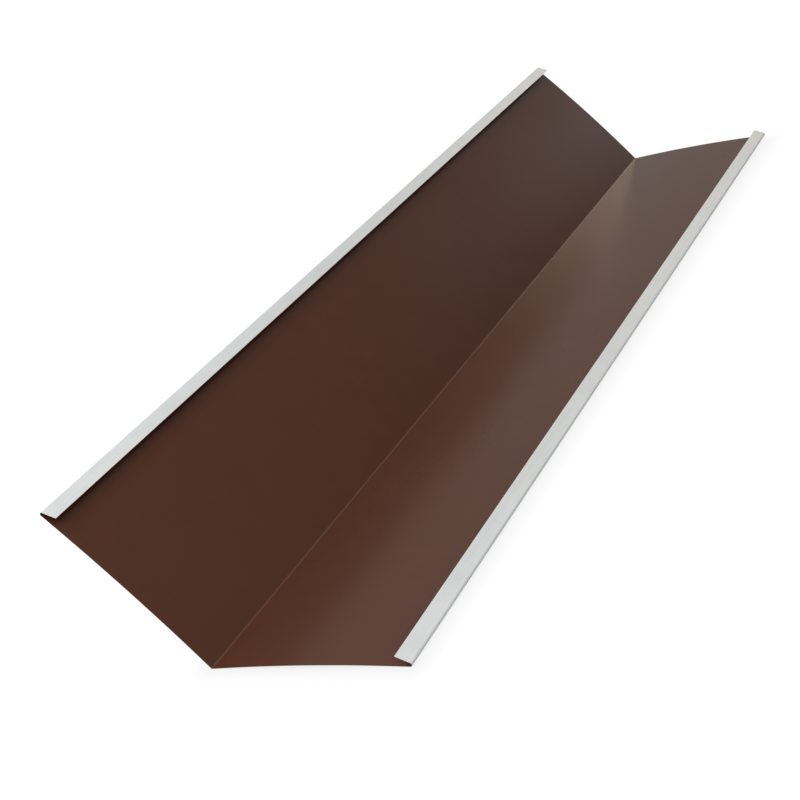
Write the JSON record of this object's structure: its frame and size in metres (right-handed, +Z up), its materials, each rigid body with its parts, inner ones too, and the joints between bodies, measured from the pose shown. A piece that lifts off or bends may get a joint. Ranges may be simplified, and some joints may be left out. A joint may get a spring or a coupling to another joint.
{
  "type": "valley flashing",
  "caption": "Long roof valley flashing of coated sheet steel, folded along its middle into an open V, with an open hem turned over along each long edge.",
  "frame": {"origin": "middle of the bounding box in X and Y, on the floor that the flashing lies on", "axes": "+Y along the valley, towards the end that is further away in the picture; +Z up from the floor; +X across the valley towards the wing that lies on the floor, so the raised wing is on the -X side"},
  "size_m": [0.488, 2, 0.2572],
  "materials": {
    "coated_sheet": "satin chocolate brown top coat on the face inside the valley; light grey back coat on the underside and so on the turned-over hems; bare zinc-coated steel at the cut edges"
  },
  "bodies": {
    "root": {"folded_sheet": "coated_sheet"}
  },
  "joints": []
}
